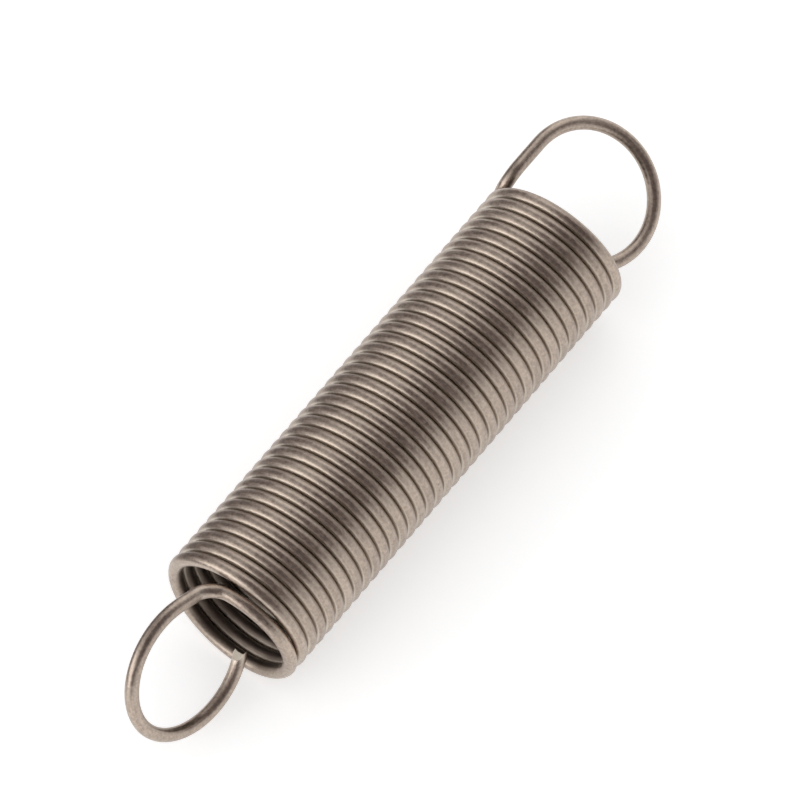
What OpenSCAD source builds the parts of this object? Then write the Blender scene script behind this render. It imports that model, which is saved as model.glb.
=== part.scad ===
// Extension spring at rest on a flat surface, axis level.
// One length of round wire makes the close-wound body and the open hook at each end.
// The wire is laid as a chain of plain bends and straight runs that meet end to end,
// the way a wire-forming machine makes it.
// The far hook points to +X, the near hook to -X, and the spring lies on z = 0.

/* [Wire] */
// Thickness of the round wire, mm
wire_d = 1; // [0.8:0.1:1.2]
// Air between one turn and the next, mm
turn_gap = 0.02; // [0.02:0.01:0.1]
// Slope of each face of the pinched wire ends, degrees
pinch = 28; // [10:2:40]

/* [Body] */
// Width of the coil, middle of wire to middle of wire, mm
coil_d = 10.3; // [9.1:0.1:11.9]
// Whole turns
turns = 36; // [12:1:48]
// Part of a turn added before the far hook, degrees
last_turn = 157; // [141:1:173]
// How far the spring is rolled about its own axis as it lies, degrees
roll = -58.6; // [-180:0.1:180]

/* [Near hook] */
// Radius of the run across the mouth, as a share of the coil's radius
mouth_share = 0.875; // [0.85:0.005:0.9]
// Sweep of that run, degrees
mouth_sweep = 125; // [118:1:132]
// Lift of that run away from the next turn, degrees
mouth_lift = 3; // [2.5:0.5:8]
// Radius of the sharp bend into the hook, in wire thicknesses
near_bend = 1.9; // [1.6:0.1:2.4]
// Sweep of the sharp bend, degrees
near_bend_sweep = 79; // [72:1:86]
// Turn of the wire before the sharp bend, degrees
near_bend_turn = 106.5; // [99:0.5:114]
// Straight run between the sharp bend and the loop, mm
near_leg = 1.4; // [0.6:0.1:2.6]
// Radius of the loop, as a share of the coil's radius
near_loop_share = 1; // [0.9:0.01:1.1]
// Sweep of the loop round to its free end, degrees
near_loop_sweep = 249; // [222:1:256]
// Turn of the wire before the loop, degrees
near_loop_turn = -75.5; // [-82:0.5:-69]

/* [Far hook] */
// Radius of the bend off the body, in wire thicknesses
far_bend = 1.9; // [1.5:0.1:2.4]
// Sweep of that bend, degrees
far_bend_sweep = 89; // [84:1:94]
// Turn of the wire before that bend, degrees
far_bend_turn = 92.5; // [86:0.5:99]
// Straight run along the body's side, mm
far_leg = 2.2; // [0.6:0.1:6]
// Radius of the loop, as a share of the coil's radius
far_loop_share = 0.98; // [0.9:0.01:1.06]
// Sweep of the loop round to its free end, degrees
far_loop_sweep = 214; // [190:1:218]
// Turn of the wire before the loop, degrees
far_loop_turn = -67; // [-74:0.5:-60]

/* [Hidden] */
$fn = 48;
steel = [0.46, 0.41, 0.36];
seam = 0.04;

// Rise of one turn, and the radius of the coil's mean line
pitch = wire_d + turn_gap;
coil_r = coil_d / 2;
// Each half turn is a flat half circle, leaned so that it climbs half the pitch
half_r = sqrt(coil_r * coil_r + pitch * pitch / 16);
lean = asin(pitch / (4 * half_r));
mouth_r = coil_r * mouth_share;
near_bend_r = wire_d * near_bend;
near_loop_r = coil_r * near_loop_share;
far_bend_r = wire_d * far_bend;
far_loop_r = coil_r * far_loop_share;

// A station on the wire is [point, way to the bend's centre, side, way of travel]
function turned(s, a) = [
    s[0],
    s[1] * cos(a) + s[2] * sin(a),
    s[2] * cos(a) - s[1] * sin(a),
    s[3]
];
function bent(s, r, a) = [
    s[0] + r * (s[3] * sin(a) + s[1] * (1 - cos(a))),
    s[1] * cos(a) - s[3] * sin(a),
    s[2],
    s[3] * cos(a) + s[1] * sin(a)
];
function run_on(s, l) = [s[0] + s[3] * l, s[1], s[2], s[3]];
function centre(s, r) = s[0] + s[1] * r;

// Stations of the near hook, from the body's first turn outwards
near_0 = turned([[coil_r, 0, 0], [-1, 0, 0], [0, 0, -1], [0, -1, 0]], mouth_lift);
near_1 = turned(bent(near_0, mouth_r, mouth_sweep), near_bend_turn);
near_2 = bent(near_1, near_bend_r, near_bend_sweep);
near_3 = turned(run_on(near_2, near_leg), near_loop_turn);
near_4 = bent(near_3, near_loop_r, near_loop_sweep);

// Stations of the far hook, from the middle of the body's last turn outwards
far_z = (turns + 0.25) * pitch;
far_out = [cos(last_turn) * cos(lean), sin(last_turn), -cos(last_turn) * sin(lean)];
far_way = [-sin(last_turn) * cos(lean), cos(last_turn), sin(last_turn) * sin(lean)];
far_start = [far_out * half_r, -far_out, cross(far_way, -far_out), far_way];
far_0 = turned(far_start, far_bend_turn);
far_1 = bent(far_0, far_bend_r, far_bend_sweep);
far_2 = turned(run_on(far_1, far_leg), far_loop_turn);
far_3 = bent(far_2, far_loop_r, far_loop_sweep);

// Where the spring lies: down and sideways as seen along the coil's axis
down = [cos(roll), -sin(roll), 0];
aside = [sin(roll), cos(roll), 0];
function reach(s, r, way) = centre(s, r) * way + r * norm(cross(s[2], way));
body_low = sqrt(pow(coil_r * down[0], 2) + pow(half_r * down[1], 2));
body_wide = sqrt(pow(coil_r * aside[0], 2) + pow(half_r * aside[1], 2));
low = max(body_low, reach(near_3, near_loop_r, down)) + wire_d / 2;
one_side = max(body_wide, far_1[0] * aside, far_2[0] * aside);
other_side = max(body_wide, -far_1[0] * aside, -far_2[0] * aside);
near_tip = -reach(near_3, near_loop_r, [0, 0, -1]);
far_tip = far_z + reach(far_2, far_loop_r, [0, 0, 1]);

spring_wire();

module spring_wire() {
    color(steel)
        translate([-(near_tip + far_tip) / 2, -(one_side - other_side) / 2, low])
            rotate([0, 90, 0])
                rotate([0, 0, roll])
                    union() {
                        body();
                        near_hook();
                        far_hook();
                    }
}

// The close-wound body, in half turns that lean one way and then the other
module body() {
    for (k = [0 : turns - 1]) {
        half_turn((k + 0.25) * pitch, 0, 180);
        half_turn((k + 0.75) * pitch, 180, 180);
    }
    half_turn(far_z, 0, last_turn);
}

module half_turn(z, start, sweep) {
    translate([0, 0, z])
        rotate([0, lean, start])
            rotate_extrude(angle = sweep)
                translate([half_r, 0])
                    circle(d = wire_d);
}

// The wire crosses the mouth, bends sharply and makes the near loop
module near_hook() {
    bend(near_0, mouth_r, mouth_sweep);
    bend(near_1, near_bend_r, near_bend_sweep);
    straight(near_2, near_leg);
    loop(near_3, near_loop_r, near_loop_sweep, near_4);
}

// The wire leaves the body at its side, runs along it and makes the far loop
module far_hook() {
    translate([0, 0, far_z]) {
        bend(far_0, far_bend_r, far_bend_sweep);
        straight(far_1, far_leg);
        loop(far_2, far_loop_r, far_loop_sweep, far_3);
    }
}

// Places what is drawn along +Z, bending towards +X, at a station
module at(s) {
    multmatrix([for (i = [0 : 2]) [s[1][i], s[2][i], s[3][i], s[0][i]]])
        children();
}

// Each run starts a hair past its station, and a bead a hair wider closes the seam
module bead() {
    sphere(r = wire_d / 2 + 0.006);
}

module bend(s, r, sweep) {
    skip = seam / r * 180 / PI;
    at(s) {
        bead();
        translate([r, 0, 0])
            rotate([90, 0, 180])
                rotate([0, 0, skip])
                    rotate_extrude(angle = sweep - skip)
                        translate([r, 0])
                            circle(d = wire_d);
    }
}

module straight(s, l) {
    at(s) {
        bead();
        translate([0, 0, seam])
            cylinder(d = wire_d, h = l - seam);
    }
}

// A loop runs on a little past its free end, where two sloping cuts pinch it off
module loop(s, r, sweep, end) {
    difference() {
        bend(s, r, sweep + 4);
        at(end)
            for (side = [-1, 1])
                rotate([0, side * pinch, 0])
                    translate([-1.5 * wire_d, -wire_d, 0])
                        cube([3 * wire_d, 2 * wire_d, 1.5 * wire_d]);
    }
}
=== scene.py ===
"""Extension spring of one round steel wire, dressed and lit in a plain pale studio."""

import logging
import math
from dataclasses import dataclass, field
from enum import Enum

import bpy
import numpy as np
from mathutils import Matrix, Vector


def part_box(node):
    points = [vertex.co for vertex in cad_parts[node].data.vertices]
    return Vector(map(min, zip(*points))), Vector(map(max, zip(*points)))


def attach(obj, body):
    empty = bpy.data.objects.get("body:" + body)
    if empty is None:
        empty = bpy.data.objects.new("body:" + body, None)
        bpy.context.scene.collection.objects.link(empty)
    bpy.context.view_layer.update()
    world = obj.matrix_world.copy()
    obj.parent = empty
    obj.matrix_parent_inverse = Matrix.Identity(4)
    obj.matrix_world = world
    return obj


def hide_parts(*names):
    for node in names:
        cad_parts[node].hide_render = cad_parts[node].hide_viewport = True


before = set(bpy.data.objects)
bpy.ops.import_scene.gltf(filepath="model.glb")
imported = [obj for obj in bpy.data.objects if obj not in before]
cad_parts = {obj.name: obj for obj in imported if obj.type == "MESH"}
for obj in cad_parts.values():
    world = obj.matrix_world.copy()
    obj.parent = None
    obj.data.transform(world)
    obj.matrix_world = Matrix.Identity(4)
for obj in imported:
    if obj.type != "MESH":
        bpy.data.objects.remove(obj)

MM = 0.001
NODE = "spring_wire"
SURFACE_MAP = "OFBake"
WIRE_WAY = "wire_way"
WOUND = "wound"
BARE = "bare"
FULL_TURN = 360
NOISE_MIDDLE = 0.5

# A mix node has its sockets for colours at these places.
MIX_FACTOR, MIX_LOW, MIX_HIGH = 0, 6, 7
MIX_RESULT = 2

log = logging.getLogger("extension_spring")


class Side(Enum):
    """The two free ends of the wire, by the place of each in its list of rings."""

    NEAR = 0
    FAR = -1


class Surface(Enum):
    """What a patch of the wire's skin is, by its place in the list of materials."""

    DRAWN = 0
    PINCHED = 1


def unit(v: np.ndarray) -> np.ndarray:
    """Returns v, or each row of v, at length 1."""
    return v / np.linalg.norm(v, axis=-1, keepdims=True)


@dataclass(frozen=True)
class Station:
    """A place on the wire, with the frame that the next bend is made in.

    Attributes:
        point: The middle of the wire, in mm.
        inward: The way to the middle of the next bend.
        side: The way that the next bend's plane faces.
        travel: The way that the wire runs.
    """

    point: np.ndarray
    inward: np.ndarray
    side: np.ndarray
    travel: np.ndarray

    def turned(self, angle: float) -> "Station":
        """Rolls the frame about the wire.

        Args:
            angle: How far it rolls, in degrees.

        Returns:
            The rolled station.
        """
        c, s = math.cos(math.radians(angle)), math.sin(math.radians(angle))
        inward = self.inward * c + self.side * s
        return Station(self.point, inward, self.side * c - self.inward * s, self.travel)

    def bent(self, radius: float, sweep: float) -> "Station":
        """Follows a plain bend.

        Args:
            radius: Radius of the bend at the middle of the wire, in mm.
            sweep: How far it bends, in degrees.

        Returns:
            The station at the end of the bend.
        """
        c, s = math.cos(math.radians(sweep)), math.sin(math.radians(sweep))
        point = self.point + radius * (self.travel * s + self.inward * (1 - c))
        inward = self.inward * c - self.travel * s
        return Station(point, inward, self.side, self.travel * c + self.inward * s)

    def run_on(self, length: float) -> "Station":
        """Returns the station that lies straight ahead by length mm."""
        return Station(self.point + self.travel * length, self.inward, self.side, self.travel)


@dataclass
class Route:
    """The middle line of the wire, laid down run by run.

    Attributes:
        end: The station that it has reached.
        points: The points that it went through, in mm.
    """

    end: Station
    points: list[np.ndarray] = field(default_factory=list)

    def bend(self, radius: float, sweep: float, step: float) -> None:
        """Lays a plain bend.

        Args:
            radius: Radius of the bend, in mm.
            sweep: How far it bends, in degrees.
            step: The longest gap between two points, in mm.
        """
        count = math.ceil(radius * math.radians(sweep) / step)
        start = self.end
        self.points += [start.bent(radius, sweep * k / count).point for k in range(count)]
        self.end = start.bent(radius, sweep)

    def straight(self, length: float, step: float) -> None:
        """Lays a straight run.

        Args:
            length: Length of the run, in mm.
            step: The longest gap between two points, in mm.
        """
        count = math.ceil(length / step)
        start = self.end
        self.points += [start.run_on(length * k / count).point for k in range(count)]
        self.end = start.run_on(length)

    def turn(self, angle: float) -> None:
        """Rolls the wire by angle degrees before the next bend."""
        self.end = self.end.turned(angle)

    def closed(self) -> np.ndarray:
        """Returns every point, the last one included."""
        return np.array(self.points + [self.end.point])


@dataclass(frozen=True)
class Hook:
    """One open hook: the bends and straight runs from the body out to the free end.

    Attributes:
        bend_radius: Radius of the sharp bend, in mm.
        bend_sweep: Sweep of the sharp bend, in degrees.
        bend_turn: Roll of the wire before the sharp bend, in degrees.
        leg: Straight run between the sharp bend and the loop, in mm.
        loop_radius: Radius of the loop, in mm.
        loop_sweep: Sweep of the loop, in degrees.
        loop_turn: Roll of the wire before the loop, in degrees.
    """

    bend_radius: float
    bend_sweep: float
    bend_turn: float
    leg: float
    loop_radius: float
    loop_sweep: float
    loop_turn: float

    def lay(self, route: Route, step: float) -> None:
        """Lays the hook on from the end of a route.

        Args:
            route: The route so far.
            step: The longest gap between two points, in mm.
        """
        route.turn(self.bend_turn)
        route.bend(self.bend_radius, self.bend_sweep, step)
        route.straight(self.leg, step)
        route.turn(self.loop_turn)
        route.bend(self.loop_radius, self.loop_sweep, step)


def carried(
    p0: np.ndarray, t0: np.ndarray, v0: np.ndarray, p1: np.ndarray, t1: np.ndarray
) -> np.ndarray:
    """Carries a direction from one ring to the next with no twist, by two reflections.

    Args:
        p0: Middle of the first ring.
        t0: Way along the wire there.
        v0: The direction there.
        p1: Middle of the next ring.
        t1: Way along the wire there.

    Returns:
        The direction at the next ring.
    """
    step = p1 - p0
    c = step @ step
    v = v0 - 2 / c * (step @ v0) * step
    t = t0 - 2 / c * (step @ t0) * step
    rest = t1 - t
    return v - 2 / (rest @ rest) * (rest @ v) * rest


@dataclass(frozen=True)
class Mark:
    """A small dent, rubbed patch or nick in the wire's skin.

    Attributes:
        along: Its place along the wire from the near free end, in mm.
        around: Its place round the section from the inward way, in degrees.
        length: Half its length, in mm.
        width: Half its width, in mm.
        depth: How deep it goes, in mm.
        bare: How far it shows bare metal, from 0 to 1.
    """

    along: float
    around: float
    length: float
    width: float
    depth: float
    bare: float

    def share(self, along: np.ndarray, around: np.ndarray, radius: float) -> np.ndarray:
        """Works out how strongly each place is marked.

        Args:
            along: Places along the wire, in mm.
            around: Places round the section, in degrees.
            radius: The wire's radius, in mm.

        Returns:
            1 in the middle of the mark, falling softly to 0.
        """
        turn = (around - self.around + FULL_TURN / 2) % FULL_TURN - FULL_TURN / 2
        across = np.radians(turn) * radius
        return np.exp(-(((along - self.along) / self.length) ** 2) - (across / self.width) ** 2)


@dataclass(frozen=True)
class PinchedEnd:
    """The roof shape that a cutter leaves on the wire's end.

    Attributes:
        slope: Slope of each face, in degrees.
        reach: Length of wire that the cutter moves, in mm.
        spread: How much wider the wire gets along the ridge, as a share.
        lip: Height of the torn lip at each end of the ridge, in mm.
        lip_width: Half the lip's width, in mm.
        lip_power: How late the lip rises towards the wire's edge, as a power.
        tear: Height of the torn grain on the faces, in mm.
        tear_waves: The grain's two waves, in radians a mm across and along the ridge.
        shares: Radii of the rings across the end, as shares of the wire's.
    """

    slope: float = 42
    reach: float = 1.0
    spread: float = 0.05
    lip: tuple[float, float] = (0.12, 0.34)
    lip_width: float = 0.28
    lip_power: int = 4
    tear: float = 0.012
    tear_waves: tuple[tuple[float, float], ...] = ((23, 9), (-7, 31))
    shares: tuple[float, ...] = (0.86, 0.68, 0.5, 0.32, 0.15)

    def height(self, x: np.ndarray, y: np.ndarray, radius: float) -> np.ndarray:
        """Works out the end's height over the section.

        Args:
            x: Places across the ridge, in mm.
            y: Places along the ridge, in mm.
            radius: The wire's radius, in mm.

        Returns:
            The height above the ridge's middle, in mm.
        """
        roof = -np.abs(x) * math.tan(math.radians(self.slope))
        rise = (y / radius) ** self.lip_power * np.exp(-((x / self.lip_width) ** 2))
        first, second = (across * x + along * y for across, along in self.tear_waves)
        tear = self.tear * np.sin(first) * np.cos(second)
        return roof + np.where(y < 0, *self.lip) * rise + tear


@dataclass(frozen=True)
class Grain:
    """One kind of noise in the wire's skin.

    Attributes:
        along: Grains in the length of one wire radius.
        across: Grains in one wire radius across the wire.
        detail: Layers of finer grain.
    """

    along: float
    across: float
    detail: float


class Graph:
    """A node tree, with short ways to add to it."""

    def __init__(self, tree: bpy.types.NodeTree) -> None:
        """Empties the tree and keeps it."""
        tree.nodes.clear()
        self.tree = tree

    def feed(self, socket: bpy.types.NodeSocket, value: object) -> None:
        """Links a socket to another one, or sets it to a plain value.

        Args:
            socket: The input to feed.
            value: The socket that it is linked to, or its value.
        """
        if isinstance(value, bpy.types.NodeSocket):
            self.tree.links.new(value, socket)
        else:
            socket.default_value = value

    def node(self, kind: str, inputs: dict[str | int, object] | None = None) -> bpy.types.Node:
        """Adds a node.

        Args:
            kind: The node's type.
            inputs: What its inputs, by name or by place, are set or linked to.

        Returns:
            The node.
        """
        made = self.tree.nodes.new(kind)
        for name, value in (inputs or {}).items():
            self.feed(made.inputs[name], value)
        return made

    def maths(self, operation: str, *values: object) -> bpy.types.NodeSocket:
        """Adds one sum on plain numbers or sockets.

        Args:
            operation: The kind of sum.
            values: What it is done on.

        Returns:
            Its result.
        """
        made = self.tree.nodes.new("ShaderNodeMath")
        made.operation = operation
        for socket, value in zip(made.inputs, values):
            self.feed(socket, value)
        return made.outputs[0]

    def eased(self, value: bpy.types.NodeSocket, start: float, end: float) -> bpy.types.NodeSocket:
        """Eases a value from 0 to 1.

        Args:
            value: The value.
            start: Where the result leaves 0.
            end: Where it reaches 1.

        Returns:
            The eased value.
        """
        made = self.node("ShaderNodeMapRange", {"Value": value, "From Min": start, "From Max": end})
        made.interpolation_type = "SMOOTHSTEP"
        return made.outputs["Result"]

    def clamped(self, value: bpy.types.NodeSocket) -> bpy.types.NodeSocket:
        """Returns a value kept between 0 and 1."""
        return self.maths("MINIMUM", self.maths("MAXIMUM", value, 0.0), 1.0)

    def noise(self, way: bpy.types.NodeSocket, grain: Grain) -> bpy.types.NodeSocket:
        """Adds noise along the wire's own coordinates.

        Args:
            way: The coordinates.
            grain: The kind of noise.

        Returns:
            The noise, with NOISE_MIDDLE as its middle.
        """
        scale = (grain.along, grain.across, grain.across)
        stretched = self.node("ShaderNodeVectorMath", {0: way, 1: scale})
        stretched.operation = "MULTIPLY"
        inputs = {"Vector": stretched.outputs[0], "Scale": 1.0, "Detail": grain.detail}
        return self.node("ShaderNodeTexNoise", inputs).outputs["Fac"]

    def swing(
        self, way: bpy.types.NodeSocket, grain: Grain, strength: object
    ) -> bpy.types.NodeSocket:
        """Returns noise about 0, times a strength."""
        about = self.maths("SUBTRACT", self.noise(way, grain), NOISE_MIDDLE)
        return self.maths("MULTIPLY", about, strength)

    def mixed(self, factor: object, low: object, high: object) -> bpy.types.NodeSocket:
        """Mixes two colours by a mask.

        Args:
            factor: The mask, 0 for the first colour and 1 for the second.
            low: The first colour.
            high: The second colour.

        Returns:
            The mixed colour.
        """
        made = self.tree.nodes.new("ShaderNodeMix")
        made.data_type = "RGBA"
        for place, value in ((MIX_FACTOR, factor), (MIX_LOW, low), (MIX_HIGH, high)):
            self.feed(made.inputs[place], (*value, 1) if isinstance(value, tuple) else value)
        return made.outputs[MIX_RESULT]


@dataclass(frozen=True)
class Band:
    """A mask that rises over one side of the wire.

    Attributes:
        start: How far a point faces that side where the mask starts, from 0 to 1.
        full: How far it faces that side where the mask is full.
        strength: The mask where it is full.
    """

    start: float
    full: float
    strength: float

    def mask(self, graph: Graph, facing: bpy.types.NodeSocket) -> bpy.types.NodeSocket:
        """Returns the mask for how far each point faces the side."""
        return graph.maths("MULTIPLY", graph.eased(facing, self.start, self.full), self.strength)


def group_ends(
    tree: bpy.types.NodeTree, inputs: dict[str, str], outputs: tuple[str, ...]
) -> tuple[Graph, bpy.types.Node, bpy.types.Node]:
    """Gives a node group its sockets.

    Args:
        tree: The empty group.
        inputs: Names of the inputs, with the type of each.
        outputs: Names of the outputs, all plain values.

    Returns:
        The graph to build in, and its input and output nodes.
    """
    for name, kind in inputs.items():
        tree.interface.new_socket(name=name, in_out="INPUT", socket_type=kind)
    for name in outputs:
        tree.interface.new_socket(name=name, in_out="OUTPUT", socket_type="NodeSocketFloat")
    graph = Graph(tree)
    return graph, graph.node("NodeGroupInput"), graph.node("NodeGroupOutput")


@dataclass(frozen=True)
class DrawnSkin:
    """The skin of drawn wire: fine lines along it, grain, pits and long patches.

    Attributes:
        name: Name of the node group.
        lines: The fine lines.
        grain: The fine grain.
        pits: The noise whose peaks are the pits.
        pit_range: The noise where a pit starts and where it is full.
        pit_shade: How much a pit darkens the tone.
        pit_depth: How deep a pit goes, as a share of the relief.
        patches: The long patches.
        patch_swing: How far the patches move the tone.
        tone: The tone in the middle of them.
    """

    name: str = "drawn_skin"
    lines: Grain = Grain(0.12, 9.0, 3.0)
    grain: Grain = Grain(2.6, 2.6, 4.0)
    pits: Grain = Grain(6.5, 6.5, 2.0)
    pit_range: tuple[float, float] = (0.66, 0.80)
    pit_shade: float = 0.25
    pit_depth: float = 0.6
    patches: Grain = Grain(0.045, 0.5, 3.0)
    patch_swing: float = 0.8
    tone: float = 0.52

    def fill(self, tree: bpy.types.NodeTree) -> None:
        """Builds the masks of the tone and the gloss, and the relief.

        Args:
            tree: The empty group.
        """
        value = "NodeSocketFloat"
        inputs = {"Way": "NodeSocketVector", "Lines": value, "Grain": value}
        graph, start, end = group_ends(tree, inputs, ("Tone", "Gloss", "Height"))
        way = start.outputs["Way"]
        lined = graph.swing(way, self.lines, start.outputs["Lines"])
        grained = graph.swing(way, self.grain, start.outputs["Grain"])
        fine = graph.maths("ADD", lined, grained)
        pitted = graph.eased(graph.noise(way, self.pits), *self.pit_range)
        patched = graph.swing(way, self.patches, self.patch_swing)
        broad = graph.maths("ADD", patched, self.tone)
        shaded = graph.maths("MULTIPLY", pitted, self.pit_shade)
        tone = graph.maths("SUBTRACT", graph.maths("ADD", fine, broad), shaded)
        graph.feed(end.inputs["Tone"], graph.clamped(tone))
        gloss = graph.maths("ADD", grained, NOISE_MIDDLE)
        graph.feed(end.inputs["Gloss"], graph.clamped(gloss))
        sunk = graph.maths("MULTIPLY", pitted, self.pit_depth)
        graph.feed(end.inputs["Height"], graph.maths("SUBTRACT", fine, sunk))


@dataclass(frozen=True)
class TurnPaintedLight:
    """Painted shade and painted highlight on the turns.

    Painted shade darkens the bore and, more thinly, the side of each turn that
    faces the far hook, where the turns shade each other. A painted highlight
    brightens the side that faces the near hook and, more faintly, the line where
    the other side touches the next turn. Both lie only where turns lie close.

    Attributes:
        name: Name of the node group.
        bore_painted_shade: The painted shade in the bore.
        flank_painted_shade: The painted shade on the side that faces the far hook.
        near_painted_highlight: The painted highlight on the side that faces the near hook.
        far_painted_highlight: The fainter painted highlight where the other side
            touches the next turn.
        ragged: The noise that makes both ragged.
        ragged_swing: How far it moves them.
        ragged_least: What it leaves of them at the least.
    """

    name: str = "turn_painted_light"
    # Painted shade in the bore and on the far flank; painted highlight on the near flank and along
    # the contact line.
    bore_painted_shade: Band = Band(0.1, 0.7, 0.95)
    flank_painted_shade: Band = Band(0.1, 0.6, 0.45)
    near_painted_highlight: Band = Band(0.62, 0.86, 1.0)
    far_painted_highlight: Band = Band(0.90, 0.99, 0.4)
    ragged: Grain = Grain(0.5, 2.0, 3.0)
    ragged_swing: float = 0.7
    ragged_least: float = 0.6

    def fill(self, tree: bpy.types.NodeTree) -> None:
        """Builds the masks of the painted shade and of the painted highlight.

        Args:
            tree: The empty group.
        """
        inputs = {"Way": "NodeSocketVector", "Wound": "NodeSocketFloat"}
        graph, start, end = group_ends(tree, inputs, ("PaintedShade", "PaintedHighlight"))
        way = start.outputs["Way"]
        parts = graph.node("ShaderNodeSeparateXYZ", {"Vector": way}).outputs
        inward, far_side = parts["Y"], parts["Z"]
        near_side = graph.maths("MULTIPLY", far_side, -1.0)
        ragged = graph.maths(
            "MULTIPLY_ADD", graph.noise(way, self.ragged), self.ragged_swing, self.ragged_least
        )
        wound = graph.maths("MULTIPLY", start.outputs["Wound"], ragged)
        # The first mask is painted shade, the second a painted highlight, both only where turns lie
        # close.
        for name, first, second in (
            ("PaintedShade", self.bore_painted_shade.mask(graph, inward), self.flank_painted_shade.mask(graph, far_side)),
            ("PaintedHighlight", self.near_painted_highlight.mask(graph, near_side), self.far_painted_highlight.mask(graph, far_side)),
        ):
            mask = graph.maths("MULTIPLY", graph.maths("MAXIMUM", first, second), wound)
            graph.feed(end.inputs[name], graph.clamped(mask))


class Effect(Enum):
    """The node groups that the wire's finishes share."""

    SKIN = DrawnSkin()
    PAINTED_LIGHT = TurnPaintedLight()

    def tree(self) -> bpy.types.NodeTree:
        """Builds the group, or finds it once it is built.

        Returns:
            The group.
        """
        known = bpy.data.node_groups.get(self.value.name)
        if known:
            return known
        made = bpy.data.node_groups.new(self.value.name, "ShaderNodeTree")
        self.value.fill(made)
        return made


@dataclass(frozen=True)
class WireFinish:
    """One finish of the wire's steel.

    Attributes:
        name: Name of the material.
        filmed: Colour where the drawing film is thick.
        clean: Colour where it is thin.
        painted_shade_colour: Colour of the painted shade in the bore and on the turns' far flanks.
        bright: Colour of bare metal, also painted on the turns' near flanks as a highlight.
        roughness: Roughness of the smoothest and of the roughest spots.
        bare_roughness: Roughness of bare metal.
        lines: Strength of the fine lines along the wire.
        grain: Strength of the grain.
        relief: Height of the lines and the grain, in metres.
        painted_highlight: How far the painted highlight on the turns' flanks shows, from 0 to 1.
        metal: How far it mirrors like a smooth metal; at 0 the face is matt and its pale colours
            paint its highlight.
        painted_shade_dulls: How much rougher it is where the painted shade lies.
    """

    name: str
    filmed: tuple[float, float, float]
    clean: tuple[float, float, float]
    painted_shade_colour: tuple[float, float, float]
    bright: tuple[float, float, float]
    roughness: tuple[float, float]
    bare_roughness: float
    lines: float
    grain: float
    relief: float
    painted_highlight: float
    metal: float
    painted_shade_dulls: float = 0.2

    def material(self) -> bpy.types.Material:
        """Builds the material.

        Returns:
            The finished material.
        """
        made = bpy.data.materials.new(self.name)
        made.use_nodes = True
        graph = Graph(made.node_tree)
        way = self.attribute(graph, WIRE_WAY, "Vector")
        bare = self.attribute(graph, BARE, "Fac")
        skin = graph.node("ShaderNodeGroup")
        skin.node_tree = Effect.SKIN.tree()
        for name, value in (("Way", way), ("Lines", self.lines), ("Grain", self.grain)):
            graph.feed(skin.inputs[name], value)
        painted_light = graph.node("ShaderNodeGroup")
        painted_light.node_tree = Effect.PAINTED_LIGHT.tree()
        graph.feed(painted_light.inputs["Way"], way)
        graph.feed(painted_light.inputs["Wound"], self.attribute(graph, WOUND, "Fac"))
        steel = graph.mixed(skin.outputs["Tone"], self.filmed, self.clean)
        # Painted shade: the bore and the far flanks of the turns go towards a dark colour.
        painted_shaded = graph.mixed(painted_light.outputs["PaintedShade"], steel, self.painted_shade_colour)
        # Painted highlight: the near flanks of the turns go towards the colour of bare metal.
        painted_highlight = graph.maths("MULTIPLY", painted_light.outputs["PaintedHighlight"], self.painted_highlight)
        bare_and_highlight = graph.maths("MAXIMUM", bare, painted_highlight)
        colour = graph.mixed(bare_and_highlight, painted_shaded, self.bright)
        low, high = self.roughness
        satin = graph.node(
            "ShaderNodeMapRange", {"Value": skin.outputs["Gloss"], "To Min": low, "To Max": high}
        )
        dull = graph.maths(
            "MULTIPLY_ADD", painted_light.outputs["PaintedShade"], self.painted_shade_dulls, satin.outputs["Result"]
        )
        gap = graph.maths("SUBTRACT", self.bare_roughness, dull)
        bump = {"Height": skin.outputs["Height"], "Distance": self.relief, "Strength": 1.0}
        relief = graph.node("ShaderNodeBump", bump)
        shader = graph.node(
            "ShaderNodeBsdfPrincipled",
            {
                "Base Color": colour,
                "Metallic": self.metal,
                "Roughness": graph.maths("MULTIPLY_ADD", gap, bare, dull),
                "Normal": relief.outputs["Normal"],
            },
        )
        graph.node("ShaderNodeOutputMaterial", {"Surface": shader.outputs["BSDF"]})
        return made

    def attribute(self, graph: Graph, name: str, output: str) -> bpy.types.NodeSocket:
        """Reads what the mesh says, point by point.

        Args:
            graph: The graph to add to.
            name: Name of the mesh's attribute.
            output: The output to read it from.

        Returns:
            What it says.
        """
        made = graph.node("ShaderNodeAttribute")
        made.attribute_name = name
        return made.outputs[output]


DRAWN_STEEL = WireFinish(
    name="drawn_spring_steel",
    filmed=(0.306, 0.239, 0.202),
    clean=(0.550, 0.463, 0.386),
    # Colour of the painted shade in the bore and between the turns.
    painted_shade_colour=(0.190, 0.152, 0.127),
    bright=(0.700, 0.630, 0.540),
    roughness=(0.27, 0.40),
    bare_roughness=0.28,
    lines=0.8,
    grain=1.9,
    relief=0.0000058,
    # Strength of the painted highlight on the turns' flanks.
    painted_highlight=0.85,
    metal=1.0,
)
# Pale matt colours on the pinched faces: a painted highlight in place of the bright reflection of
# torn steel.
SHEARED_STEEL_PAINTED_HIGHLIGHT = WireFinish(
    name="sheared_steel_painted_highlight",
    filmed=(0.880, 0.760, 0.620),
    clean=(0.980, 0.880, 0.740),
    painted_shade_colour=(0.330, 0.270, 0.220),
    bright=(0.980, 0.900, 0.770),
    roughness=(0.62, 0.75),
    bare_roughness=0.60,
    lines=0.2,
    grain=1.3,
    relief=0.000012,
    painted_highlight=0.0,
    metal=0.0,
)


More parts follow.
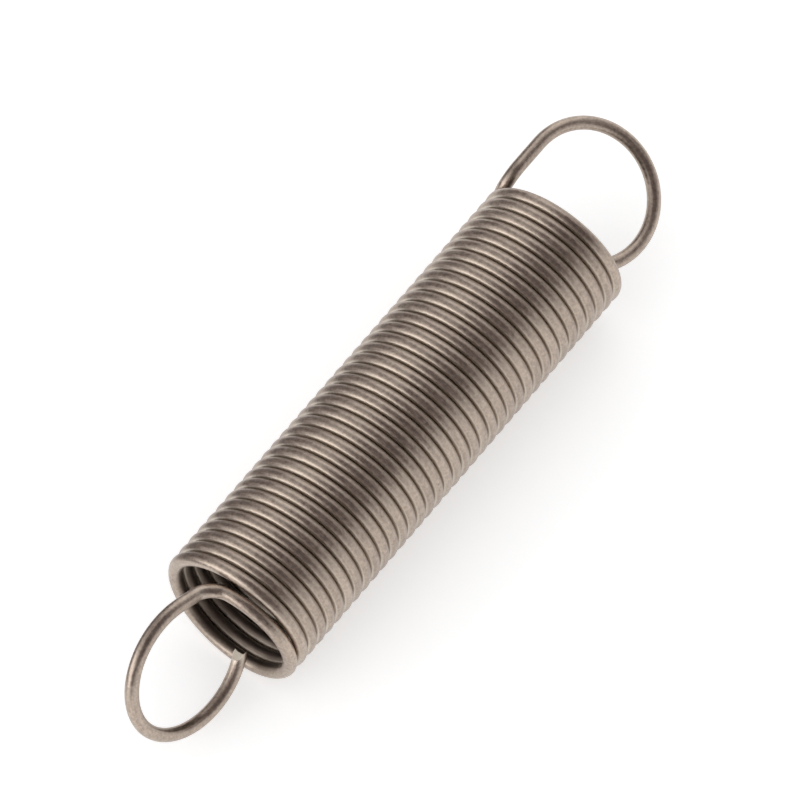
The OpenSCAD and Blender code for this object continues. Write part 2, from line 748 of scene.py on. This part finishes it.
@dataclass
class WireMesh:
    """The wire's mesh as it is put together.

    Attributes:
        verts: The points, in mm, in the coil's own frame.
        quads: The four corners of each face. The last two are one point where it has three.
        places: The places of those corners on the surface map.
        surfaces: What each face is, by its place in the list of materials.
        ways: Each point's place along the wire, in wire radii, and its ways inward and to the side.
        wound: How far each point belongs to turns that lie against each other.
        bare: How far each point shows bare metal.
        rims: The points on each sharp edge.
    """

    verts: list[np.ndarray] = field(default_factory=list)
    quads: list[np.ndarray] = field(default_factory=list)
    places: list[np.ndarray] = field(default_factory=list)
    surfaces: list[np.ndarray] = field(default_factory=list)
    ways: list[np.ndarray] = field(default_factory=list)
    wound: list[np.ndarray] = field(default_factory=list)
    bare: list[np.ndarray] = field(default_factory=list)
    rims: list[np.ndarray] = field(default_factory=list)

    def count(self) -> int:
        """Returns the number of points so far."""
        return sum(len(part) for part in self.verts)

    def add_points(
        self, verts: np.ndarray, ways: np.ndarray, wound: np.ndarray, bare: np.ndarray
    ) -> None:
        """Adds points.

        Args:
            verts: The points.
            ways: Their places and ways, as in the field of that name.
            wound: How far each belongs to turns that lie against each other.
            bare: How far each shows bare metal.
        """
        self.verts.append(verts)
        self.ways.append(ways)
        self.wound.append(wound)
        self.bare.append(bare)

    def add_faces(self, quads: np.ndarray, places: np.ndarray, surface: Surface) -> None:
        """Adds faces.

        Args:
            quads: The four corners of each.
            places: The places of those corners on the surface map.
            surface: What the faces are.
        """
        self.quads.append(quads)
        self.places.append(places)
        self.surfaces.append(np.full(len(quads), surface.value))

    def finished(self, name: str, points: np.ndarray) -> bpy.types.Mesh:
        """Makes the mesh.

        Args:
            name: Its name.
            points: All the points, in metres, in the part's own frame.

        Returns:
            The mesh, with its surface map and its attributes.
        """
        quads = np.concatenate(self.quads)
        places = np.concatenate(self.places)
        faces = [tuple(dict.fromkeys(quad)) for quad in quads.tolist()]
        mesh = bpy.data.meshes.new(name)
        mesh.from_pydata(points.tolist(), [], faces)
        surfaces = np.concatenate(self.surfaces)
        mesh.polygons.foreach_set("material_index", surfaces)
        mesh.polygons.foreach_set("use_smooth", surfaces == Surface.DRAWN.value)
        kept = np.ones(quads.shape, bool)
        kept[quads[:, 3] == quads[:, 2], 3] = False
        layer = mesh.uv_layers.new(name=SURFACE_MAP)
        layer.data.foreach_set("uv", places[kept].astype(np.float32).ravel())
        for key, kind, store, parts in (
            (WIRE_WAY, "FLOAT_VECTOR", "vector", self.ways),
            (WOUND, "FLOAT", "value", self.wound),
            (BARE, "FLOAT", "value", self.bare),
        ):
            values = np.concatenate(parts).astype(np.float32).ravel()
            mesh.attributes.new(key, kind, "POINT").data.foreach_set(store, values)
        ends = np.zeros(2 * len(mesh.edges), np.int32)
        mesh.edges.foreach_get("vertices", ends)
        sharp = np.zeros(len(mesh.edges), bool)
        for rim in self.rims:
            sharp |= np.isin(ends.reshape(-1, 2), rim).all(axis=1)
        mesh.edges.foreach_set("use_edge_sharp", sharp)
        mesh.validate()
        return mesh


@dataclass
class SpringWire:
    """The whole spring: a close-wound body with an open hook bent from each end.

    Attributes:
        wire_d: Thickness of the wire, in mm.
        turn_gap: Air between one turn and the next, in mm.
        meeting: How far the turns' skin stands out so that they nearly meet, in mm.
        coil_d: Width of the coil at the middle of the wire, in mm.
        turns: Whole turns.
        last_turn: Part of a turn added before the far hook, in degrees.
        roll: How far the spring is rolled about its own axis, in degrees.
        mouth_radius: Radius of the run across the near mouth, in mm.
        mouth_sweep: Sweep of that run, in degrees.
        mouth_lift: Lift of that run away from the next turn, in degrees.
        near: The near hook.
        far: The far hook.
        end: The shape of both pinched ends.
        cut_bare: How far the pinched faces show bare metal, from 0 to 1.
        far_bare: How far the skin by the far free end shows it, from 0 to 1.
        far_bare_length: How far that reaches, in mm.
        marks: The dents, rubs and nicks.
        sides: Sides of the wire's mesh.
        ring_step: Longest gap between two rings of the body, in mm.
        hook_step: Longest gap between two rings of a hook, in mm.
        strips: Strips that the surface map is cut into.
        strip_gap: Gap between two strips of the surface map, in mm.
    """

    wire_d: float = 1.0
    turn_gap: float = 0.02
    meeting: float = 0.008
    coil_d: float = 10.3
    turns: int = 36
    last_turn: float = 157
    roll: float = -58.6
    mouth_radius: float = 4.50625
    mouth_sweep: float = 125
    mouth_lift: float = 3
    near: Hook = Hook(
        bend_radius=1.9,
        bend_sweep=79,
        bend_turn=106.5,
        leg=1.4,
        loop_radius=5.15,
        loop_sweep=249,
        loop_turn=-75.5,
    )
    far: Hook = Hook(
        bend_radius=1.9,
        bend_sweep=89,
        bend_turn=92.5,
        leg=2.2,
        loop_radius=5.047,
        loop_sweep=214,
        loop_turn=-67,
    )
    end: PinchedEnd = PinchedEnd()
    cut_bare: float = 0.4
    far_bare: float = 0.5
    far_bare_length: float = 0.25
    marks: tuple[Mark, ...] = (
        Mark(24.9, 150, 0.28, 0.22, 0.030, 0.0),
        Mark(24.1, -160, 0.5, 0.25, 0.018, 0.35),
        Mark(32.0, -130, 0.16, 0.12, 0.035, 0.0),
        Mark(0.0, 20, 0.5, 2.0, 0.0, 0.55),
    )
    sides: int = 24
    ring_step: float = 0.34
    hook_step: float = 0.15
    strips: int = 20
    strip_gap: float = 0.14

    def near_route(self) -> Route:
        """Lays the wire from the body's first turn out to the near free end.

        Returns:
            The route.
        """
        start = Station(
            np.array([self.coil_d / 2, 0, 0]),
            np.array([-1.0, 0, 0]),
            np.array([0, 0, -1.0]),
            np.array([0, -1.0, 0]),
        )
        route = Route(start.turned(self.mouth_lift))
        route.bend(self.mouth_radius, self.mouth_sweep, self.hook_step)
        self.near.lay(route, self.hook_step)
        return route

    def body_route(self) -> Route:
        """Lays every turn of the body, up to the far hook.

        Returns:
            The route.
        """
        pitch = self.wire_d + self.turn_gap
        radius = math.hypot(self.coil_d / 2, pitch / 4)
        lean = math.asin(pitch / 4 / radius)
        inward = np.array([-math.cos(lean), 0, math.sin(lean)])
        travel = np.array([0, 1.0, 0])
        start = Station(np.array([self.coil_d / 2, 0, 0]), inward, np.cross(travel, inward), travel)
        route = Route(start)
        for _ in range(2 * self.turns):
            route.bend(radius, FULL_TURN / 2, self.ring_step)
            route.turn(2 * math.degrees(lean))
        route.bend(radius, self.last_turn, self.ring_step)
        return route

    def build(self) -> bpy.types.Object:
        """Builds the wire as one closed mesh.

        Returns:
            The wire, in place on its frame.
        """
        near = self.near_route()
        route = self.body_route()
        first = len(near.points)
        last = first + len(route.points)
        self.far.lay(route, self.hook_step)
        line = np.concatenate([near.closed()[:0:-1], route.closed()])
        ends = {Side.NEAR: near.end, Side.FAR: route.end}
        frames = self.section_frames(line, first, last, ends)
        return self.dressed(self.swept(line, frames, (first, last), ends))

    def section_frames(
        self, line: np.ndarray, first: int, last: int, ends: dict[Side, Station]
    ) -> np.ndarray:
        """Works out the frame of each ring.

        The frames follow the coil in the body and don't twist in the hooks, but
        for the few degrees that bring a corner of the mesh to each end's ridge.

        Args:
            line: The middle line.
            first: The body's first ring.
            last: The body's last ring.
            ends: The station at each free end.

        Returns:
            The ways inward, to the side and along the wire, for each ring.
        """
        travel = unit(np.gradient(line, axis=0))
        inward = np.zeros_like(line)
        body = slice(first, last + 1)
        inward[body] = line[body] * (-1, -1, 0)
        inward[body] -= travel[body] * np.sum(inward[body] * travel[body], axis=1, keepdims=True)
        inward[body] = unit(inward[body])
        for k in range(last + 1, len(line)):
            inward[k] = carried(line[k - 1], travel[k - 1], inward[k - 1], line[k], travel[k])
        for k in range(first - 1, -1, -1):
            inward[k] = carried(line[k + 1], travel[k + 1], inward[k + 1], line[k], travel[k])
        side = np.cross(travel, inward)
        corner = FULL_TURN / self.sides
        twist = np.zeros(len(line))
        hooks = {Side.NEAR: np.arange(first, -1, -1), Side.FAR: np.arange(last, len(line))}
        for end, hook in hooks.items():
            k = end.value
            ridge = ends[end].inward
            off = math.degrees(math.atan2(ridge @ side[k], ridge @ inward[k]))
            twist[hook] = np.linspace(0, off - round(off / corner) * corner, len(hook))
        c, s = np.cos(np.radians(twist))[:, None], np.sin(np.radians(twist))[:, None]
        return np.stack([inward * c + side * s, side * c - inward * s, travel])

    def swept(
        self,
        line: np.ndarray,
        frames: np.ndarray,
        body: tuple[int, int],
        ends: dict[Side, Station],
    ) -> WireMesh:
        """Sweeps the round section along the line and pinches both ends.

        Args:
            line: The middle line.
            frames: The ways inward, to the side and along the wire, for each ring.
            body: The body's first and last rings.
            ends: The station at each free end.

        Returns:
            The mesh so far, in mm, in the coil's own frame.
        """
        angle = np.arange(self.sides) * FULL_TURN / self.sides
        steps = np.linalg.norm(np.diff(line, axis=0), axis=1)
        along = np.concatenate([[0], np.cumsum(steps)])
        grid_along, grid_angle = np.meshgrid(along, angle, indexing="ij")
        radius = self.wire_d / 2
        marked = [mark.share(grid_along, grid_angle, radius) for mark in self.marks]
        depth = sum(mark.depth * share for mark, share in zip(self.marks, marked))
        bare = np.clip(sum(mark.bare * share for mark, share in zip(self.marks, marked)), 0, 1)
        bare += np.clip(1 - (along[-1] - grid_along) / self.far_bare_length, 0, self.far_bare)
        c, s = np.cos(np.radians(grid_angle)), np.sin(np.radians(grid_angle))
        inward, side, travel = frames
        wound = self.wound(along, body, s)
        arm = (radius - depth + self.meeting * wound)[..., None]
        round_way = c[..., None] * inward[:, None] + s[..., None] * side[:, None]
        rings = line[:, None] + arm * round_way
        self.pinch(rings, line, travel, along, ends)
        ways = np.stack([grid_along / radius, c, s], axis=-1)
        made = WireMesh()
        made.add_points(rings.reshape(-1, 3), ways.reshape(-1, 3), wound.ravel(), bare.ravel())
        index = np.arange(rings.shape[0] * self.sides).reshape(-1, self.sides)
        after = np.roll(index, -1, axis=1)
        quads = np.stack([index[:-1], after[:-1], after[1:], index[1:]], axis=-1)
        made.add_faces(quads.reshape(-1, 4), self.strip_places(along), Surface.DRAWN)
        for end, station in ends.items():
            k = end.value
            self.cap(made, rings[k] - line[k], line[k], index[k], ways[k], end, station)
        return made

    def wound(self, along: np.ndarray, body: tuple[int, int], s: np.ndarray) -> np.ndarray:
        """Works out how far each point belongs to turns that lie against each other.

        Args:
            along: The place of each ring along the wire, in mm.
            body: The body's first and last rings.
            s: How far each point faces the far hook, from -1 to 1.

        Returns:
            1 in the body, falling to 0 on the open sides of its outer turns.
        """
        shares = np.zeros(s.shape)
        shares[body[0] : body[1] + 1] = 1
        turn = math.pi * self.coil_d
        shares[along < along[body[0]] + turn] *= 1 - np.maximum(-s[0], 0)
        shares[along > along[body[1]] - turn] *= 1 - np.maximum(s[0], 0)
        return shares

    def pinch(
        self,
        rings: np.ndarray,
        line: np.ndarray,
        travel: np.ndarray,
        along: np.ndarray,
        ends: dict[Side, Station],
    ) -> None:
        """Moves the rings by each free end to the pinched shape.

        Args:
            rings: The points of every ring, changed in place.
            line: The middle line.
            travel: The way along the wire at each ring.
            along: The place of each ring along the wire, in mm.
            ends: The station at each free end.
        """
        radius = self.wire_d / 2
        for end, station in ends.items():
            away = np.abs(along - along[end.value])
            for k in np.flatnonzero(away < self.end.reach):
                left = 1 - away[k] / self.end.reach
                arm = rings[k] - line[k]
                x, y = arm @ station.inward, arm @ station.side
                out = travel[k] * (1 if end is Side.FAR else -1)
                rings[k] += left * self.end.height(x, y, radius)[:, None] * out
                rings[k] += self.end.spread * left**2 * y[:, None] * station.side

    def cap(
        self,
        made: WireMesh,
        arm: np.ndarray,
        middle: np.ndarray,
        index: np.ndarray,
        ways: np.ndarray,
        end: Side,
        station: Station,
    ) -> None:
        """Closes a pinched end with rings that get smaller towards its middle.

        Args:
            made: The mesh to add to.
            arm: The way from the middle to each point of the last ring.
            middle: The middle of the last ring.
            index: The numbers of those points.
            ways: What the finish reads at those points.
            end: Which end it is.
            station: The station at that end.
        """
        flat = np.stack([arm @ station.inward, arm @ station.side], axis=-1)
        # A face looks out of the end with its corners in this order. Where the last
        # ring shrinks to one point, the corner that is there twice has to come last.
        order = [0, 1, 2, 3] if end is Side.FAR else [3, 2, 1, 0]
        made.rims.append(index)
        outer, outside = index, flat
        for share in (*self.end.shares, 0.0):
            inside = flat * share
            x, y = inside[:, :1], inside[:, 1:]
            high = self.end.height(x, y, self.wire_d / 2)
            points = middle + x * station.inward + y * station.side + high * station.travel
            seen = ways * (1, share, share)
            inner = made.count() + np.arange(self.sides)
            if not share:
                points, seen, inner = points[:1], seen[:1], np.full(self.sides, made.count())
                order = [0, 1, 2, 3] if end is Side.FAR else [1, 0, 3, 2]
            count = len(points)
            made.add_points(points, seen, np.zeros(count), np.full(count, self.cut_bare))
            quads = np.stack([outer, np.roll(outer, -1), np.roll(inner, -1), inner], axis=-1)
            after = np.roll(outside, -1, axis=0), np.roll(inside, -1, axis=0)
            places = np.stack([outside, *after, inside], axis=1)
            made.add_faces(
                quads[:, order], self.cap_places(places[:, order], end), Surface.PINCHED
            )
            outer, outside = inner, inside

    def strip_places(self, along: np.ndarray) -> np.ndarray:
        """Lays the wire's skin on the surface map, as strips side by side.

        Args:
            along: The place of each ring along the wire, in mm.

        Returns:
            The places of every face's four corners.
        """
        length = along[-1] / self.strips
        height = math.pi * self.wire_d
        size = self.strips * (height + self.strip_gap)
        strip = np.minimum((along[:-1] / length).astype(int), self.strips - 1)
        left = strip * length - self.strip_gap
        low = strip * (height + self.strip_gap) + self.strip_gap / 2
        u = np.stack([along[:-1], along[1:]], axis=-1) - left[:, None]
        v = np.arange(self.sides + 1) / self.sides * height + low[:, None]
        low_u = np.repeat(u[:, :1], self.sides, axis=1)
        high_u = np.repeat(u[:, 1:], self.sides, axis=1)
        low_v, high_v = v[:, :-1], v[:, 1:]
        pairs = ((low_u, low_v), (low_u, high_v), (high_u, high_v), (high_u, low_v))
        places = np.stack([np.stack(pair, axis=-1) for pair in pairs], axis=-2)
        return places.reshape(-1, 4, 2) / size

    def cap_places(self, flat: np.ndarray, end: Side) -> np.ndarray:
        """Lays a pinched end on the surface map, beyond the strips.

        Args:
            flat: Places across and along the ridge, in mm.
            end: Which end it is.

        Returns:
            The places on the map.
        """
        size = self.strips * (math.pi * self.wire_d + self.strip_gap)
        middle = np.array([size - self.wire_d, size / 3 if end is Side.NEAR else size * 2 / 3])
        return (flat + middle) / size

    def dressed(self, made: WireMesh) -> bpy.types.Object:
        """Turns the wire the way it lies, finishes it and puts it on its frame.

        Args:
            made: The mesh, in mm, in the coil's own frame.

        Returns:
            The wire.
        """
        verts = np.concatenate(made.verts)
        c, s = math.cos(math.radians(self.roll)), math.sin(math.radians(self.roll))
        x = verts[:, 0] * c - verts[:, 1] * s
        y = verts[:, 0] * s + verts[:, 1] * c
        lying = np.stack([verts[:, 2], y, -x], axis=-1) * MM
        low, high = (np.array(corner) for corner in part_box(NODE))
        shift = (low + high) / 2 - (lying.min(0) + lying.max(0)) / 2
        shift[2] = low[2] - lying[:, 2].min()
        mesh = made.finished("wire", lying + shift)
        for finish in (DRAWN_STEEL, SHEARED_STEEL_PAINTED_HIGHLIGHT):
            mesh.materials.append(finish.material())
        wire = placed(mesh, Vector())
        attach(wire, "root")
        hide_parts(NODE)
        return wire


def direction(azimuth: float, elevation: float) -> Vector:
    """Returns the unit vector at that azimuth from +X and elevation, in degrees."""
    a, e = math.radians(azimuth), math.radians(elevation)
    return Vector((math.cos(a) * math.cos(e), math.sin(a) * math.cos(e), math.sin(e)))


def placed(data: bpy.types.ID, place: Vector) -> bpy.types.Object:
    """Puts a new object in the scene.

    Args:
        data: What it is made of, whose name it takes.
        place: Where it stands, in metres.

    Returns:
        The object.
    """
    made = bpy.data.objects.new(data.name, data)
    bpy.context.scene.collection.objects.link(made)
    made.location = place
    return made


def aim_back(thing: bpy.types.Object, away: Vector) -> None:
    """Turns a thing that stands out along away so that it faces back."""
    thing.rotation_mode = "QUATERNION"
    thing.rotation_quaternion = (-away).to_track_quat("-Z", "Y")


def disc(name: str, half_width: float, half_height: float, sides: int) -> bpy.types.Mesh:
    """Makes a flat round or oval sheet.

    Args:
        name: Its name.
        half_width: Half its width, in metres.
        half_height: Half its height, in metres.
        sides: Sides of its outline.

    Returns:
        The sheet.
    """
    turns = [math.tau * k / sides for k in range(sides)]
    ring = [(half_width * math.cos(t), half_height * math.sin(t), 0) for t in turns]
    mesh = bpy.data.meshes.new(name)
    mesh.from_pydata(ring, [], [tuple(range(sides))])
    return mesh


@dataclass(frozen=True)
class Softbox:
    """One soft lamp.

    Attributes:
        name: Name of the lamp.
        azimuth: Where it stands round the spring, in degrees from +X.
        elevation: How high it stands, in degrees.
        distance: How far it stands from the spring, in metres.
        size: Width and height, in metres.
        level: What it adds to the surroundings behind it, where white is 1.
    """

    name: str
    azimuth: float
    elevation: float
    distance: float
    size: tuple[float, float]
    level: float

    def build(self) -> bpy.types.Object:
        """Builds the lamp.

        Returns:
            The lamp, aimed at the spring.
        """
        data = bpy.data.lights.new(self.name, "AREA")
        data.shape = "RECTANGLE"
        data.size, data.size_y = self.size
        data.energy = self.level * math.pi * self.size[0] * self.size[1]
        away = direction(self.azimuth, self.elevation)
        lamp = placed(data, away * self.distance)
        aim_back(lamp, away)
        return lamp


@dataclass(frozen=True)
class Flag:
    """One matt card that keeps part of the white surroundings out of the steel.

    Attributes:
        name: Name of the card.
        azimuth: Where it stands round the spring, in degrees from +X.
        elevation: How high it stands, in degrees.
        distance: How far it stands from the spring, in metres.
        size: Half its width and half its height, in metres.
        shade: Its colour.
        flat: Whether it lies level, where the others face the spring.
        sides: Sides of its outline.
    """

    name: str
    azimuth: float
    elevation: float
    distance: float
    size: tuple[float, float]
    shade: tuple[float, float, float]
    flat: bool = False
    sides: int = 36

    def build(self) -> bpy.types.Object:
        """Builds the card.

        Returns:
            The card, seen in reflections alone.
        """
        mesh = disc(self.name, *self.size, self.sides)
        away = direction(self.azimuth, self.elevation)
        card = placed(mesh, away * self.distance)
        if not self.flat:
            aim_back(card, away)
        card.visible_camera = False
        card.visible_diffuse = False
        card.visible_shadow = False
        made = bpy.data.materials.new(self.name)
        made.use_nodes = True
        graph = Graph(made.node_tree)
        matt = graph.node("ShaderNodeBsdfDiffuse", {"Color": (*self.shade, 1)})
        graph.node("ShaderNodeOutputMaterial", {"Surface": matt.outputs["BSDF"]})
        mesh.materials.append(made)
        return card


@dataclass
class Studio:
    """Pale floor, white surroundings, two soft lamps and grey cards.

    Attributes:
        floor_radius: Radius of the floor, in metres.
        floor_sides: Sides of the floor's outline.
        floor_shade: Grey of the floor, linear.
        floor_lift: What the floor adds where it is looked at, straight or in a gloss.
        sky_level: Level of the surroundings as a light.
        lamps: The lamps.
        flags: The cards.
    """

    floor_radius: float = 3.0
    floor_sides: int = 48
    floor_shade: float = 0.86
    floor_lift: float = 0.45
    sky_level: float = 0.85
    lamps: tuple[Softbox, ...] = (
        Softbox("key_light", 154, 16, 1.2, (1.1, 0.80), 1.48),
        Softbox("far_light", 28, 36, 1.3, (1.0, 1.1), 0.40),
    )
    flags: tuple[Flag, ...] = (
        Flag("camera_flag", -109, 62, 0.9, (0.79, 0.82), (0.222, 0.190, 0.195)),
        Flag("near_flag", -156, 21, 1.0, (0.42, 0.30), (0.255, 0.22, 0.225)),
        Flag("side_flag", -34, 25, 1.1, (0.40, 0.30), (0.47, 0.43, 0.43)),
        Flag("back_flag", 76, 12, 1.2, (0.66, 0.36), (0.225, 0.195, 0.20)),
        Flag("top_flag", 92, 50, 1.4, (0.56, 0.38), (0.64, 0.62, 0.62)),
        Flag("floor_flag", 104, 0.2, 0.155, (0.15, 0.135), (0.27, 0.24, 0.245), flat=True),
    )

    def build(self) -> None:
        """Builds the floor, the surroundings, the lamps and the cards."""
        mesh = disc("floor", self.floor_radius, self.floor_radius, self.floor_sides)
        mesh.materials.append(self.floor_material())
        floor = placed(mesh, Vector())
        self.world()
        for thing in (*self.lamps, *self.flags):
            log.info("%s placed", thing.build().name)

    def seen(self, graph: Graph) -> bpy.types.NodeSocket:
        """Tells the rays that look from those that light.

        Args:
            graph: The graph to add to.

        Returns:
            1 for a ray that looks, straight, in a gloss or through glass, or else 0.
        """
        path = graph.node("ShaderNodeLightPath").outputs
        straight = graph.maths("MAXIMUM", path["Is Camera Ray"], path["Is Glossy Ray"])
        return graph.maths("MAXIMUM", straight, path["Is Transmission Ray"])

    def floor_material(self) -> bpy.types.Material:
        """Builds the floor's material: matt white that stays white in the picture.

        Returns:
            The material.
        """
        made = bpy.data.materials.new("pale_floor")
        made.use_nodes = True
        graph = Graph(made.node_tree)
        matt = graph.node("ShaderNodeBsdfDiffuse", {"Color": (self.floor_shade,) * 3 + (1,)})
        lift = graph.maths("MULTIPLY", self.seen(graph), self.floor_lift)
        glow = graph.node("ShaderNodeEmission", {"Strength": lift})
        both = graph.node("ShaderNodeAddShader", {0: matt.outputs[0], 1: glow.outputs[0]})
        graph.node("ShaderNodeOutputMaterial", {"Surface": both.outputs[0]})
        return made

    def world(self) -> None:
        """Makes the surroundings: white to look at, a little softer as a light."""
        world = bpy.data.worlds.new("studio")
        bpy.context.scene.world = world
        world.use_nodes = True
        graph = Graph(world.node_tree)
        levels = {"Value": self.seen(graph), "To Min": self.sky_level, "To Max": 1.0}
        level = graph.node("ShaderNodeMapRange", levels)
        back = graph.node("ShaderNodeBackground", {"Strength": level.outputs["Result"]})
        graph.node("ShaderNodeOutputWorld", {"Surface": back.outputs[0]})


@dataclass(frozen=True)
class PhotoCamera:
    """The camera that takes the spring as the photograph does.

    Attributes:
        aim: The point that it looks at, in mm.
        distance: How far it stands from that point, in mm.
        azimuth: Where it stands round that point, in degrees from +X.
        elevation: How high it stands, in degrees.
        lens: Focal length, in mm.
        sensor: Width of the picture in the camera, in mm.
        clip: The nearest and the furthest that it sees, in metres.
    """

    aim: tuple[float, float, float] = (2.177, 1.084, 5.655)
    distance: float = 810.7
    azimuth: float = -142.83
    elevation: float = 61.165
    lens: float = 531.1
    sensor: float = 36
    clip: tuple[float, float] = (0.01, 50)

    def build(self) -> bpy.types.Object:
        """Builds the camera.

        Returns:
            The camera, set as the scene's own.
        """
        data = bpy.data.cameras.new("photo_camera")
        data.lens = self.lens
        data.sensor_width = self.sensor
        data.clip_start, data.clip_end = self.clip
        away = direction(self.azimuth, self.elevation)
        camera = placed(data, (Vector(self.aim) + away * self.distance) * MM)
        aim_back(camera, away)
        bpy.context.scene.camera = camera
        return camera


def main() -> None:
    """Builds the camera, the studio and the spring, and logs the spring's face count."""
    logging.basicConfig(level=logging.INFO, format="%(message)s")
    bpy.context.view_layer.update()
    bpy.context.scene.view_settings.view_transform = "Standard"
    PhotoCamera().build()
    Studio().build()
    wire = SpringWire().build()
    log.info("%s: %d faces", wire.name, len(wire.data.polygons))


if __name__ == "__main__":
    main()
